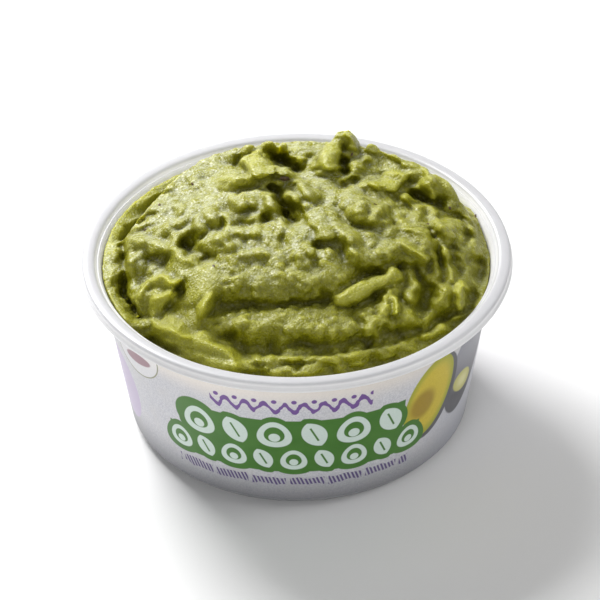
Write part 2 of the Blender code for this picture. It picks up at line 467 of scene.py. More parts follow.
# Every fold is a stroke on a plain round heap: its line in millimetres, its width to the left and to the
# right of the way it runs, its height at its start and its end, and how each side falls off.
# banks are the broad ones, of which the highest shows; lumps lie on them; hollows are pressed in.
banks = {
    "terraceOne": ([(-20, -15.4), (-13, -17.0), (-6, -17.8), (1, -17.8), (7, -16.4)], (13, 8.4),
        (4.4, 4.6), "ledge"),
    "terraceOneRight": ([(7, -15.6), (13, -13.4), (18, -11.4), (23, -9.4), (27, -8.8)], (10, 4.8),
        (4.0, 4.2), "ledge"),
    "terraceTwo": ([(-21, -27.0), (-12, -28.6), (-4, -30.0), (4, -29.8), (10, -30.0), (16, -30.6)],
        (3.4, 5.0), (2.4, 2.6), "ledge"),
    "terraceTwoRight": ([(16, -29.8), (22, -27.8), (28, -25.0), (33, -21.6), (37, -18.6)], (7, 3.2),
        (2.2, 2.2), "ledge"),
    "terraceThree": ([(-14, -36.8), (-4, -36.6), (6, -36.2), (16, -34.8), (24, -32.2), (32, -28.0),
        (38, -22)], (1.6, 8.0), (1.5, 1.5), "ledge"),
    "leftBand": ([(-38, 3.6), (-33, -0.4), (-29.0, -4.8), (-26.2, -9.4), (-23, -12.4), (-20.4, -15.4),
        (-19.6, -20), (-20.6, -23.4)], (2.9, 2.8), (1.2, 3.8), "lump"),
    "middleLeft": ([(-24, 6.6), (-17, 9.6), (-9, 9.4)], (5, 14), (1.2, 2.2), "ledge"),
    "slabSlope": ([(-13.0, 20.8), (-8.6, 20.4), (-5.2, 19.2)], (2.6, 12.0), (1.8, 3.2), "ledge"),
    "backRight": ([(18, 27), (23.5, 29), (27, 25.4), (31.5, 22)], (5, 8.4), (1.8, 2.6), "ledge"),
    "farRight": ([(33.8, 22.6), (36.2, 21.6)], (2.0, 10.0), (1.6, 1.8), "ledge"),
    "frontSlice": ([(-27.4, -26.8), (-22.0, -29.4), (-17.8, -32.8), (-15.0, -36.6)], (1.5, 11.0),
        (4.4, 4.4), "ledge"),
}
lumps = {
    "slab": ([(-8.4, 25.0), (-7.4, 22.2), (-6.8, 19.8)], (2.8, 4.6), (6.6, 5.6), "flat"),
    "slabTip": ([(-9.2, 28.6), (-8.8, 25.6)], (1.7, 1.9), (5.6, 6.4), "flat"),
    "slabNeck": ([(-14.6, 17.8), (-11.6, 17.0)], (2.4, 5.0), (3.8, 3.8), "lump"),
    "slabFoot": ([(-12.8, 9.4), (-9.6, 11.2), (-7.6, 9.4), (-5.8, 6.6), (-4.6, 4.4)], (1.4, 3.6),
        (1.6, 2.4), "lump"),
    "valleyEdge": ([(-8.6, 6.0), (-5.8, 4.0), (-4.2, 1.4), (-2.4, -2.2)], (1.3, 2.8), (1.8, 1.8), "lump"),
    "valleyPip": ([(-3.2, 3.8), (-1.8, 2.8)], (0.9, 0.9), (1.6, 1.4), "lump"),
    "roundLumpTwo": ([(34.6, 2.4), (36.0, 0.6)], (3.6, 3.9), (3.2, 3.0), "lump"),
    "roundLump": ([(16.4, 3.6), (18.2, 1.8)], (5.2, 5.4), (4.0, 3.8), "lump"),
    "valleyLump": ([(-2.0, 8.6), (-0.2, 6.2)], (1.8, 1.7), (2.2, 1.8), "lump"),
    "fleckChunk": ([(-3.2, 17.8), (-1.6, 17.0)], (1.6, 1.7), (4.8, 4.2), "lump"),
    "smallChunk": ([(1.2, 13.6), (2.6, 10.8), (4.0, 8.0)], (2.2, 2.4), (3.0, 2.2), "lump"),
    "pillHead": ([(2.4, 3.8), (4.6, 2.8)], (2.4, 2.4), (2.2, 2.0), "lump"),
    "pill": ([(4.8, 0.6), (6.6, -6.4)], (2.5, 2.5), (2.4, 3.2), "flat"),
    "besidePill": ([(10.2, -4.6), (12.8, -6.0)], (1.8, 3.2), (1.2, 2.0), "lump"),
    "drop": ([(2.6, -9.6), (4.0, -12.0)], (1.6, 1.8), (1.6, 1.8), "lump"),
    "leftKnobOne": ([(-20.0, 6.2), (-18.8, 1.4)], (2.2, 2.2), (1.5, 1.5), "lump"),
    "leftKnobTwo": ([(-14.2, 8.6), (-13.2, 5.4)], (2.2, 2.2), (1.9, 1.6), "lump"),
    "leftKnobThree": ([(-9.4, 7.8), (-8.2, 6.0)], (2.0, 2.0), (1.4, 1.4), "lump"),
    "leftKnobFour": ([(-16.0, 3.6), (-15.2, -1.2)], (1.7, 1.7), (1.3, 1.5), "lump"),
    "leftKnobFive": ([(-22.8, 4.4), (-22.0, -0.4)], (1.6, 1.7), (1.2, 1.3), "lump"),
    "leftKnobSix": ([(-12.6, -2.2), (-9.6, -3.4)], (1.9, 2.5), (1.8, 1.8), "lump"),
    "leftKnobSeven": ([(-17.2, -4.2), (-15.4, -7.2)], (2.2, 2.5), (1.6, 1.4), "lump"),
    "leftKnobEight": ([(-12.0, -9.8), (-8.4, -10.6)], (1.6, 2.4), (1.5, 1.7), "lump"),
    "leftKnobNine": ([(-5.4, -2.6), (-4.2, -4.2)], (1.8, 2.1), (1.6, 1.6), "lump"),
    "holeEdge": ([(-29.6, 4.6), (-28.4, -0.6), (-26.8, -5.2), (-23.8, -9.4), (-20.6, -10.2)], (1.2, 2.0),
        (1.0, 1.6), "lump"),
    "moundKnobOne": ([(-33.6, 14.6), (-31.2, 12.0)], (2.4, 2.6), (1.2, 1.2), "lump"),
    "moundKnobTwo": ([(-28.0, 12.6), (-27.0, 9.0)], (1.6, 2.0), (1.3, 1.3), "lump"),
    "moundKnobThree": ([(-24.4, 26.0), (-23.4, 19.0)], (2.6, 2.6), (1.0, 1.0), "lump"),
    "moundEdgeOne": ([(-35.6, 20.0), (-31.6, 21.4)], (1.6, 3.4), (1.6, 1.6), "lump"),
    "moundEdgeTwo": ([(-31.0, 24.4), (-28.0, 26.4)], (1.4, 3.0), (1.4, 1.4), "lump"),
    "moundEdgeThree": ([(-38.4, 12.4), (-36.6, 12.6)], (1.5, 2.4), (1.8, 1.6), "lump"),
    "leftKnobTen": ([(-41.4, 8.6), (-37.6, 8.2)], (1.6, 2.6), (1.6, 1.4), "lump"),
    "leftKnobEleven": ([(-37.6, 4.6), (-36.4, 2.4)], (2.0, 2.0), (1.3, 1.0), "lump"),
    "curlCup": ([(-34.6, -14.2), (-32.0, -14.8)], (3.0, 4.4), (2.2, 2.4), "lump"),
    "curlBelly": ([(-31.4, -16.6), (-29.2, -16.8)], (2.8, 4.0), (3.4, 3.8), "lump"),
    "curlRim": ([(-36.2, -13.4), (-34.2, -11.2), (-31.0, -11.4), (-28.8, -13.4)], (1.0, 2.4), (3.2, 3.8),
        "lump"),
    "curlTip": ([(-28.6, -13.8), (-27.4, -14.8)], (0.9, 0.9), (4.8, 4.4), "lump"),
    "curlSpine": ([(-37.2, -13.4), (-36.9, -17.2), (-35.6, -21.0), (-34.4, -24.2)], (1.5, 1.3),
        (2.4, 1.8), "lump"),
    "curlLip": ([(-33.0, -21.4), (-30.4, -23.8), (-27.8, -25.6), (-25.0, -25.8), (-22.4, -24.4),
        (-21.0, -22.0)], (5.6, 3.0), (2.2, 2.4), "ledge"),
    "outerBand": ([(-43.6, 3.0), (-43.6, -6.0), (-42.0, -13.0), (-38.8, -20.0), (-35.8, -25.0)],
        (1.7, 1.4), (1.8, 1.4), "lump"),
    "stick": ([(9.8, -24.0), (14.0, -21.7), (18.0, -18.9), (22.0, -15.8)], (1.9, 2.4), (2.8, 4.0), "flat"),
    "fingerOne": ([(22.8, -19.0), (20.8, -22.8), (19.2, -26.8)], (1.7, 1.7), (2.4, 2.2), "lump"),
    "fingerTwo": ([(21.9, -22.4), (21.7, -25.8)], (1.1, 1.1), (3.2, 3.0), "lump"),
    "shelfHook": ([(24.8, -6.8), (27.4, -8.6), (29.0, -10.4)], (1.4, 2.0), (1.4, 2.4), "lump"),
    "rightKnobOne": ([(25.6, -14.4), (26.8, -18.0), (26.0, -21.6)], (2.2, 2.0), (1.8, 2.2), "lump"),
    "rightKnobTwo": ([(24.0, -27.0), (28.0, -25.2)], (1.8, 2.2), (1.6, 1.6), "lump"),
    "rightKnobThree": ([(15.6, -30.0), (19.6, -29.0)], (1.6, 2.2), (1.4, 1.6), "lump"),
    "rightKnobEight": ([(29.6, -12.0), (31.6, -15.0)], (1.9, 2.1), (1.6, 1.4), "lump"),
    "frontFace": ([(33.6, -17.0), (32.2, -20.8)], (2.1, 2.1), (2.8, 2.2), "lump"),
    "frontPeak": ([(38.4, -14.0), (37.2, -16.2), (36.4, -19.4)], (1.6, 1.8), (4.2, 2.8), "lump"),
    "wallKnobOne": ([(20.4, -34.0), (23.2, -32.8)], (2.2, 3.6), (1.6, 1.6), "lump"),
    "wallKnobTwo": ([(29.4, -29.4), (32.2, -27.4)], (2.0, 3.2), (1.6, 1.6), "lump"),
    "wallKnobThree": ([(36.2, -23.4), (38.4, -21.2)], (1.7, 2.4), (1.6, 1.6), "lump"),
    "wallKnobFour": ([(10.8, -36.8), (13.4, -36.4)], (2.2, 4.6), (1.6, 1.6), "lump"),
    "wallKnobFive": ([(2.8, -37.6), (7.6, -36.7)], (1.7, 4.6), (1.2, 1.6), "lump"),
    "wallKnobSix": ([(-6.4, -36.8), (-1.6, -37.4)], (1.7, 4.6), (1.2, 1.2), "lump"),
    "wallKnobSeven": ([(-12.4, -37.8), (-9.4, -37.2)], (1.7, 4.0), (1.2, 1.2), "lump"),
    "radialOne": ([(35.2, -4.0), (34.8, -9.0), (35.2, -13.4)], (1.5, 1.6), (1.8, 1.2), "lump"),
    "radialTwo": ([(38.2, -5.6), (39.6, -11.4)], (2.1, 2.1), (1.2, 1.5), "lump"),
    "rightMoundThree": ([(27.4, -1.0), (30.2, -3.4)], (2.4, 3.0), (1.8, 1.8), "lump"),
    "rightWallKnob": ([(42.0, 8.8), (43.6, 4.0)], (1.8, 1.9), (2.4, 1.6), "lump"),
    "rightKnobFour": ([(26.0, 9.4), (28.6, 7.8)], (1.9, 2.1), (1.7, 1.4), "lump"),
    "rightKnobFive": ([(31.4, 9.6), (32.8, 7.4)], (1.6, 1.8), (1.5, 1.3), "lump"),
    "rightKnobSix": ([(21.2, 14.4), (19.8, 13.4)], (1.9, 2.2), (2.6, 2.4), "lump"),
    "prong": ([(24.8, 19.6), (23.6, 17.0), (22.8, 14.0)], (1.7, 3.0), (3.4, 2.4), "flat"),
    "rightKnobSeven": ([(31.2, 18.0), (32.4, 14.0)], (1.4, 1.6), (2.0, 1.8), "lump"),
    "peakFin": ([(11.0, 36.4), (10.0, 32.6), (8.8, 27.6), (7.6, 21.2)], (2.4, 2.6), (0.8, 4.0), "flat"),
    "peakFinRight": ([(12.4, 38.0), (13.2, 33.0), (14.0, 30.4)], (1.7, 1.3), (3.0, 1.6), "lump"),
    "backKnobOne": ([(22.4, 31.0), (24.4, 28.6)], (2.2, 2.2), (1.4, 1.4), "lump"),
    "backKnobTwo": ([(16.8, 26.0), (15.2, 22.4)], (2.0, 2.2), (1.4, 1.2), "lump"),
    "backKnobThree": ([(30.6, 24.4), (32.0, 19.8)], (1.5, 1.6), (1.4, 1.6), "lump"),
}
hollows = {
    "valleyTop": ([(-6.0, 29.4), (-3.6, 26.6), (-1.6, 22.6), (0.0, 19.6)], (2.0, 1.6), (-4.2, -5.4)),
    "valleyMiddle": ([(0.4, 18.0), (2.2, 15.6), (4.4, 14.2)], (3.0, 1.2), (-3.0, -1.6)),
    "valleyLow": ([(-5.6, 12.4), (-4.6, 9.4), (-3.2, 5.6), (-2.2, 1.2), (-0.9, -2.0)], (2.0, 1.1),
        (-3.8, -4.8)),
    "slabCrease": ([(-13.8, 28.6), (-13.2, 25.4)], (0.7, 0.7), (-1.4, -1.2)),
    "slabBowl": ([(-12.4, 11.2), (-10.4, 10.2)], (2.6, 1.6), (-0.8, -1.0)),
    "leftHole": ([(-25.8, -2.6), (-24.6, -6.0), (-21.4, -9.8)], (3.0, 1.3), (-4.8, -5.0)),
    "knobGapOne": ([(-17.2, 1.6), (-17.4, -2.0)], (0.8, 0.8), (-1.0, -1.0)),
    "knobGapTwo": ([(-12.4, 1.8), (-11.4, -1.0)], (1.2, 1.2), (-1.2, -1.0)),
    "knobGapThree": ([(-6.8, 1.6), (-6.4, -1.2)], (1.0, 1.0), (-1.2, -0.9)),
    "bowl": ([(-33.0, -4.6), (-31.0, -7.4)], (2.2, 1.8), (-2.8, -2.2)),
    "bowlFloor": ([(-37.0, -6.6), (-34.0, -10.0)], (3.2, 2.4), (-1.2, -1.2)),
    "leftCrease": ([(-41.0, 5.0), (-40.4, -4.0), (-39.9, -11.0), (-38.4, -16.0), (-36.6, -20.5)],
        (0.9, 0.9), (-3.0, -4.6)),
    "curlHole": ([(-27.2, -16.4), (-26.6, -17.8)], (0.9, 0.9), (-3.6, -2.6)),
    "underCurl": ([(-34.6, -20.6), (-31.0, -21.0), (-28.4, -20.4)], (1.2, 0.7), (-1.2, -1.0)),
    "pocket": ([(-33.0, -29.6), (-31.2, -32.0), (-29.6, -33.8)], (2.6, 1.6), (-5.0, -4.6)),
    "shortCrease": ([(-17.6, -31.2), (-14.6, -31.8)], (1.0, 0.6), (-1.4, -1.4)),
    "creaseOne": ([(-18.4, -25.4), (-10.0, -25.6), (-3.0, -26.3), (3.0, -26.1), (8.0, -24.8)],
        (1.6, 0.7), (-1.4, -1.2)),
    "creaseTwo": ([(-14.6, -33.8), (-8.0, -34.8), (0.0, -35.2), (8.0, -35.0), (16.0, -33.6)], (1.6, 0.7),
        (-1.2, -1.4)),
    "diagonal": ([(16.0, -33.6), (22.0, -31.2), (28.0, -27.8), (33.0, -24.4), (38.6, -20.6)], (1.4, 0.7),
        (-1.2, -1.6)),
    "underPill": ([(6.0, -10.4), (8.6, -10.0)], (1.4, 0.6), (-1.6, -1.4)),
    "besideChunk": ([(4.8, 8.0), (5.4, 5.6)], (0.8, 0.8), (-1.2, -1.2)),
    "overStick": ([(10.4, -20.6), (14.0, -18.8), (18.4, -16.2)], (1.6, 0.7), (-0.8, -1.6)),
    "underStick": ([(12.0, -26.6), (16.6, -24.4), (20.0, -21.8)], (1.6, 0.8), (-1.6, -1.4)),
    "hookGap": ([(29.8, -7.0), (30.6, -10.0), (30.6, -13.0)], (0.7, 0.7), (-1.4, -1.4)),
    "knobGapFour": ([(31.0, -17.6), (29.4, -21.4), (27.4, -24.8)], (1.2, 1.6), (-1.8, -3.0)),
    "peakGap": ([(41.6, -15.4), (40.2, -19.4)], (1.5, 1.4), (-3.0, -3.0)),
    "radialGap": ([(33.2, -4.6), (33.2, -10.0), (33.4, -14.4)], (0.6, 0.6), (-1.6, -1.4)),
    "wallGap": ([(43.4, -4.0), (43.0, -10.0)], (1.3, 1.3), (-2.8, -2.8)),
    "moundGapOne": ([(22.6, 4.4), (22.8, 0.4)], (0.9, 0.9), (-1.2, -1.2)),
    "moundGapTwo": ([(25.6, 3.6), (27.2, 1.4)], (1.2, 1.0), (-1.4, -1.2)),
    "moundGapThree": ([(39.8, 4.4), (39.4, 0.0)], (0.8, 0.8), (-1.4, -1.4)),
    "underMound": ([(14.6, -2.2), (17.0, -3.0)], (1.4, 0.8), (-1.2, -1.2)),
    "cave": ([(28.6, 12.4), (29.8, 11.6)], (2.6, 1.0), (-4.0, -3.6)),
    "farRightGap": ([(34.6, 13.0), (35.2, 12.2)], (1.2, 1.0), (-1.6, -1.4)),
    "peakSlot": ([(12.0, 24.0), (11.6, 21.0), (11.6, 19.0)], (1.0, 1.0), (-1.8, -4.0)),
    "peakSide": ([(3.4, 26.0), (3.8, 19.0)], (1.8, 1.8), (-1.2, -1.6)),
    "smallGap": ([(14.0, 16.2), (11.6, 13.0)], (2.0, 1.0), (-2.0, -3.0)),
}
# these stand straight up on the far side, where the heap meets the sky: line on the heap's own plan
crests = {
    "backRidge": ([(-14, 31), (-7, 30.5), (-1.5, 28), (3.5, 25)], (3.0, 1.6), (1.4, 0.8), "lump"),
    "leftRidge": ([(-30.0, 22.6), (-22.0, 29.2), (-14.5, 32.4)], (3.0, 5.5), (0.8, 2.6), "lump"),
    "backNubLeft": ([(-12.2, 31.4), (-10.8, 30.8)], (1.7, 3.4), (3.9, 3.9), "lump"),
    "backNubMiddle": ([(-8.0, 31.4), (-5.6, 30.8)], (1.8, 3.4), (4.0, 4.0), "lump"),
    "backNubRight": ([(-2.8, 32.0), (-2.3, 31.4)], (0.9, 1.2), (3.6, 3.4), "lump"),
    "rightPeak": ([(6.8, 28.6), (8.6, 30.6), (10.4, 31.6)], (2.2, 5.6), (3.0, 4.2), "lump"),
    "rightPeakTip": ([(11.4, 32.8), (12.8, 32.8)], (2.2, 4.6), (6.4, 6.6), "lump"),
    "rightPeakFall": ([(12.6, 32.6), (14.8, 31.0)], (2.0, 4.0), (5.4, 2.8), "lump"),
    "backNub": ([(18.6, 31.2), (20, 30.4)], (1.8, 3.4), (3.6, 3.4), "lump"),
    "backPip": ([(24.6, 29.0), (26.0, 28.2)], (1.4, 2.6), (2.4, 2.2), "lump"),
    "rightRidge": ([(16.0, 32.0), (22.0, 29.6), (28.0, 25.6), (32.6, 21.6)], (3.0, 4.0), (2.2, 3.0),
        "lump"),
    "farRightTop": ([(33.8, 19.8), (35.2, 18.6), (36.4, 17.2)], (1.8, 6.0), (4.0, 3.8), "lump"),
    "farRightLow": ([(39.4, 14.0), (41.0, 11.4)], (1.8, 2.2), (2.4, 2.0), "lump"),
}


def roundTheWall(levels, angles):
    # a value given at a few angles, joined all the way round
    keys = sorted(levels)
    return np.interp(angles % 360, keys, [levels[key] for key in keys], period=360)


def strokeHeight(x, y, line, widths, heights, kind="hollow"):
    # height of one stroke: it falls off to each side of its line at that side's own width
    away = np.full_like(x, 1e9)
    side = np.zeros_like(x)
    along = np.zeros_like(x)
    count = len(line) - 1
    for k, (start, end) in enumerate(zip(line, line[1:])):
        dx = end[0] - start[0]
        dy = end[1] - start[1]
        share = np.clip(((x - start[0]) * dx + (y - start[1]) * dy) / (dx * dx + dy * dy), 0, 1)
        ex = x - start[0] - share * dx
        ey = y - start[1] - share * dy
        distance = np.hypot(ex, ey)
        nearer = distance < away
        turn = (dx * ey - dy * ex) / (np.hypot(dx, dy) * np.maximum(distance, 1e-6))
        away = np.where(nearer, distance, away)
        side = np.where(nearer, turn, side)
        along = np.where(nearer, (k + share) / count, along)
    left = 0.5 + 0.5 * side
    far = away / (widths[1] + (widths[0] - widths[1]) * left)
    height = heights[0] + (heights[1] - heights[0]) * along
    cap = np.clip(1 - far * far, 0, 1)
    rounded = np.clip(1 - far ** 1.6, 0, 1)
    if kind == "lump":
        return height * rounded
    if kind == "flat":
        return height * cap ** 0.45
    if kind == "ledge":
        return height * (np.exp(-far ** 1.6) * left + rounded * (1 - left))
    return height * np.exp(-far ** 2)


def highest(x, y, strokes):
    top = np.zeros_like(x)
    for stroke in strokes.values():
        top = np.maximum(top, strokeHeight(x, y, *stroke))
    return top


def smoothPart(x, y):
    # 1 on the folds that a spoon or a knife left smooth
    both = {**banks, **lumps}
    height = np.zeros_like(x)
    for name in mash["smooth"]:
        stroke = both[name]
        height = np.maximum(height, strokeHeight(x, y, *stroke) / (0.45 * max(stroke[2])))
    return np.clip(height, 0, 1)


def plainHeap(x, y):
    # the round heap that the strokes are laid out on
    reach = np.clip(1 - ((x - 2) / 46) ** 2 - ((y - 12) / 50) ** 2, 0, 1)
    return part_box("tub")[1][2] / mm - 3 + 13 * reach ** 0.8


def layoutOf(x, y, z):
    # where a place of the heap lies in the strokes' layout
    found = y
    for turn in range(5):
        found = y + mash["toward"][0] / mash["toward"][1] * (z - plainHeap(x, found))
    return found


def heapDome(x, y):
    # the heap's own broad shape, with its shoulder down to the wall
    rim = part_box("tub")[1][2] / mm
    reach = np.clip(1 - ((x - 1) / 46) ** 2 - ((y - 7) / 47) ** 2, 0, 1)
    dome = rim - 3 + 12.0 * reach ** 0.8
    angle = np.degrees(np.arctan2(y, x))
    radius = np.hypot(x, y)
    # on the far left the mash was pushed off the wall, and what stuck to the wall stands above a gutter
    gutter = mash["gutterDepth"] * smoothStep(112, 126, angle) * (1 - smoothStep(164, 172, angle))
    level = rim + roundTheWall(mash["wallLevels"], angle)
    level = level - gutter * np.exp(-((radius - mash["gutterRadius"]) / 1.9) ** 2)
    past = radius - roundTheWall(mash["shoulder"], angle)
    sharp = np.clip(gutter / mash["gutterDepth"], 0, 1)
    fall = smoothStep(-2.2, 2.0, past) * (1 - sharp) + smoothStep(-0.9, 1.1, past) * sharp
    return dome, level, fall


def lumpRelief(x, y):
    # soft lumps of several sizes, calmer on the back left slope
    relief = np.empty_like(x)
    for k in range(len(x)):
        wide = noise.noise_vector((x[k] / 9, y[k] / 9, 3.3))
        px = x[k] + 2.0 * wide[0]
        py = y[k] + 2.0 * wide[1]
        # rounded lumps that meet in creases
        broad = 1.7 * abs(noise.noise((px / 6.6, py / 7.0, 0.4))) - 0.42
        close = 1.6 * abs(noise.noise((px / 3.4, py / 3.2, 5.1))) - 0.4
        relief[k] = mash["lumpBroad"] * broad + mash["lumpClose"] * close
    calm = np.exp(-(((x + 24) / 13) ** 4 + ((y - 18) / 14) ** 4))
    frontLeft = np.exp(-(((x + 31) / 8) ** 2 + ((y + 18) / 12) ** 2))
    middle = np.exp(-(((x + 8) / 9) ** 2 + ((y + 10) / 6) ** 2))
    terraces = smoothStep(-38, -33, y) * (1 - smoothStep(-17, -9, y))
    return relief * (1 - 0.85 * calm) * (1 - 0.5 * frontLeft) * (1 - 0.6 * middle) * (1 - 0.6 * terraces)


def warped(x, y, size, reach, seed):
    # push places about by noise so that no fold has a drawn edge
    pushX = np.empty_like(x)
    pushY = np.empty_like(x)
    for k in range(len(x)):
        push = noise.noise_vector((x[k] / size, y[k] / size, seed))
        pushX[k] = push[0]
        pushY[k] = push[1]
    return x + pushX * reach, y + pushY * reach


def heapBlock():
    # a fine grid, drawn into a disc and raised to the heap, then closed below as a block
    noise.seed_set(mash["seed"])                   # without it the folds differ from run to run
    bpy.ops.object.select_all(action="DESELECT")
    bpy.ops.mesh.primitive_grid_add(x_subdivisions=mash["cells"], y_subdivisions=mash["cells"], size=2 * mm)
    piece = added("guacamoleMash")
    flat = pointsOf(piece)
    a, b = flat[:, 0], flat[:, 1]
    x = a * np.sqrt(np.clip(1 - b * b / 2, 0, 1)) * mash["radius"]
    y = b * np.sqrt(np.clip(1 - a * a / 2, 0, 1)) * mash["radius"]
    dome, level, fall = heapDome(x, y)
    wx, wy = warped(x, y, 5.0, 1.2, 1.5)
    wx, wy = warped(wx, wy, 2.0, 0.6, 7.5)
    up = dome * (1 - fall) + level * fall + highest(wx, wy, crests) * (1 - fall)
    layout = layoutOf(x, y, up)
    wx, wy = warped(x, layout, 5.0, 1.2, 1.5)
    wx, wy = warped(wx, wy, 2.0, 0.6, 7.5)
    pressed = mash["frontDrop"] * (1 - smoothStep(-17, -3, layout))
    for stroke in hollows.values():
        pressed = pressed + strokeHeight(wx, wy, *stroke)
    torn = lumpRelief(x, layout) * (1 - 0.8 * smoothPart(wx, wy))
    out = mash["rise"] * (pressed + highest(wx, wy, banks) + highest(wx, wy, lumps)) + torn
    atWall = smoothStep(-2.6, -0.2, np.hypot(x, y) - mash["radius"])
    out = out * (1 - 0.75 * atWall) * (1 - 0.5 * fall)
    movePoints(piece, np.stack([x, y - mash["toward"][0] * out, up + mash["toward"][1] * out], axis=1))
    only(piece)
    bpy.ops.object.mode_set(mode="EDIT")
    bpy.ops.mesh.select_all(action="SELECT")
    bpy.ops.mesh.extrude_region_move(TRANSFORM_OT_translate={"value": (0, 0, -0.02)})
    bpy.ops.object.mode_set(mode="OBJECT")
    places = pointsOf(piece)
    bottom = np.zeros(len(places), bool)
    for vertex in piece.data.vertices:
        bottom[vertex.index] = vertex.select
    # the foot is the plain disc, whatever the folds did above it
    places[bottom, 0] = x
    places[bottom, 1] = y
    places[bottom, 2] = mash["bottom"]
    movePoints(piece, places)
    only(piece)
    bpy.ops.object.mode_set(mode="EDIT")
    bpy.ops.mesh.select_all(action="SELECT")
    bpy.ops.mesh.normals_make_consistent(inside=False)
    bpy.ops.object.mode_set(mode="OBJECT")
    return piece


def roughen(piece, name, kind, size, strength, group):
    # push the surface out or in by a texture
    texture = bpy.data.textures.new(name, kind)
    texture.noise_scale = size * mm
    push = piece.modifiers.new(name, "DISPLACE")
    push.texture = texture
    push.texture_coords = "LOCAL"
    push.strength = strength * mm
    push.mid_level = 0.5
    push.vertex_group = group


def patches(piece, name, size, low, high, seed, share):
    # a vertex group that is strong in some patches and weak in others
    group = piece.vertex_groups.new(name=name)
    for k, (x, y, z) in enumerate(pointsOf(piece)):
        level = noise.noise((x / size, y / size, z / size + seed)) * 0.5 + 0.5
        level = low + (high - low) * min(1.0, max(0.0, (level - 0.3) / 0.4))
        group.add([k], level * float(share[k]), "REPLACE")


def heldInTub(piece):
    # nothing goes through the wall, nor over the height of the heap
    places = pointsOf(piece)
    over = np.maximum(0, places[:, 2] - mash["top"])
    places[:, 2] -= over * over / (over + 1.2)
    radius = np.hypot(places[:, 0], places[:, 1])
    wall = np.interp(places[:, 2], [30.0, 41.6, 42.75, 44.0], [43.9, 45.55, 46.15, 46.9])
    share = np.minimum(1, wall / np.maximum(radius, 1e-6))
    places[:, :2] *= share[:, None]
    movePoints(piece, places)


def guacamoleMash():
    piece = heapBlock()
    only(piece)
    piece.data.remesh_voxel_size = mash["voxel"] * mm
    piece.data.remesh_voxel_adaptivity = 0.0
    bpy.ops.object.voxel_remesh()
    print("mash after remesh", len(piece.data.polygons))
    soften = piece.modifiers.new("soften", "SMOOTH")
    soften.factor = 0.5
    soften.iterations = 6
    finishModifiers(piece)
    x, y, z = pointsOf(piece).T
    layout = layoutOf(x, y, z)
    torn = 1 - 0.85 * smoothPart(x, layout)
    # beads only on the two terraces at the front
    terrace = smoothStep(-36, -32, layout) * (1 - smoothStep(-13, -6, layout))
    terrace = terrace * smoothStep(-22, -18, x) * (1 - smoothStep(20, 26, x))
    patches(piece, "lumpy", 7.0, 0.15, 1.0, 3.0, torn)
    patches(piece, "grainy", 5.0, 0.2, 1.0, 9.0, torn)
    patches(piece, "beaded", 4.0, 0.1, 1.0, 5.0, torn * terrace)
    roughen(piece, "lumps", "VORONOI", 2.8, -0.9, "lumpy")
    roughen(piece, "beads", "VORONOI", 1.9, -1.2, "beaded")
    roughen(piece, "pips", "VORONOI", 1.3, -0.22, "grainy")
    roughen(piece, "crumbs", "CLOUDS", 0.9, 0.1, "grainy")
    finishModifiers(piece)
    heldInTub(piece)
    # cut the block's foot off, then draw its edge down the inside of the wall and close it
    only(piece)
    bpy.ops.object.mode_set(mode="EDIT")
    bpy.ops.mesh.select_all(action="SELECT")
    bpy.ops.mesh.bisect(plane_co=(0, 0, mash["foot"][0][0] * mm), plane_no=(0, 0, 1), clear_inner=True)
    bpy.ops.mesh.select_all(action="DESELECT")
    bpy.ops.mesh.select_mode(type="EDGE")
    bpy.ops.mesh.select_non_manifold(extend=False, use_wire=False, use_boundary=True, use_multi_face=False,
                                     use_non_contiguous=False, use_verts=False)
    height, radius = mash["foot"][0]
    for nextHeight, nextRadius in mash["foot"][1:]:
        drawOut((nextHeight - height) * mm, nextRadius / radius)
        height, radius = nextHeight, nextRadius
    bpy.ops.mesh.edge_face_add()
    bpy.ops.mesh.select_mode(type="VERT")
    bpy.ops.mesh.select_all(action="SELECT")
    bpy.ops.mesh.normals_make_consistent(inside=False)
    bpy.ops.object.mode_set(mode="OBJECT")
    # folds can turn the whole skin inside out, which shows at the foot
    foot = min(piece.data.polygons, key=lambda face: face.center.z)
    if foot.normal.z > 0:
        bpy.ops.object.mode_set(mode="EDIT")
        bpy.ops.mesh.flip_normals()
        bpy.ops.object.mode_set(mode="OBJECT")
    only(piece)
    bpy.ops.object.shade_smooth()
    markRaised(piece)
    return piece


